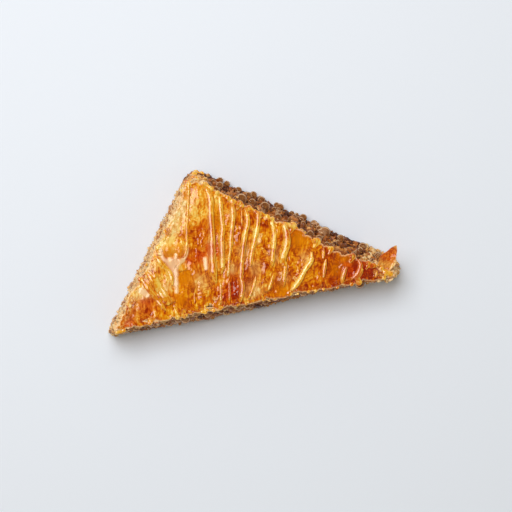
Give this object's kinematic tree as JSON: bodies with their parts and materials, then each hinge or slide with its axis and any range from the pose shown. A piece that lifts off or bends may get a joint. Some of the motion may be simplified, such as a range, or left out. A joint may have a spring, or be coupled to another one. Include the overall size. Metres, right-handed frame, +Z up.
{
  "type": "baklava piece",
  "caption": "Triangular piece of baklava: a walnut filling between stacks of flaky pastry sheets, with honey drizzled over the crown and running down the sides.",
  "frame": {"origin": "below the middle of the piece's box, on the surface it rests on", "axes": "+X along the long cut side, from the left corner to the right one; +Y from the long cut side towards the right-angled corner; +Z up"},
  "size_m": [0.1763, 0.09, 0.0308],
  "materials": {
    "golden_pastry": "crisp browned pastry sheets under a clear honey glaze, golden to red-brown",
    "walnut_filling": "chopped walnuts pressed together, dark brown, moist",
    "soaked_pastry": "soft brown pastry sheets soaked in syrup",
    "honey": "clear golden honey, very glossy"
  },
  "bodies": {
    "root": {"bottom_pastry": "soaked_pastry", "nut_filling": "walnut_filling", "top_pastry": "golden_pastry"}
  },
  "joints": []
}
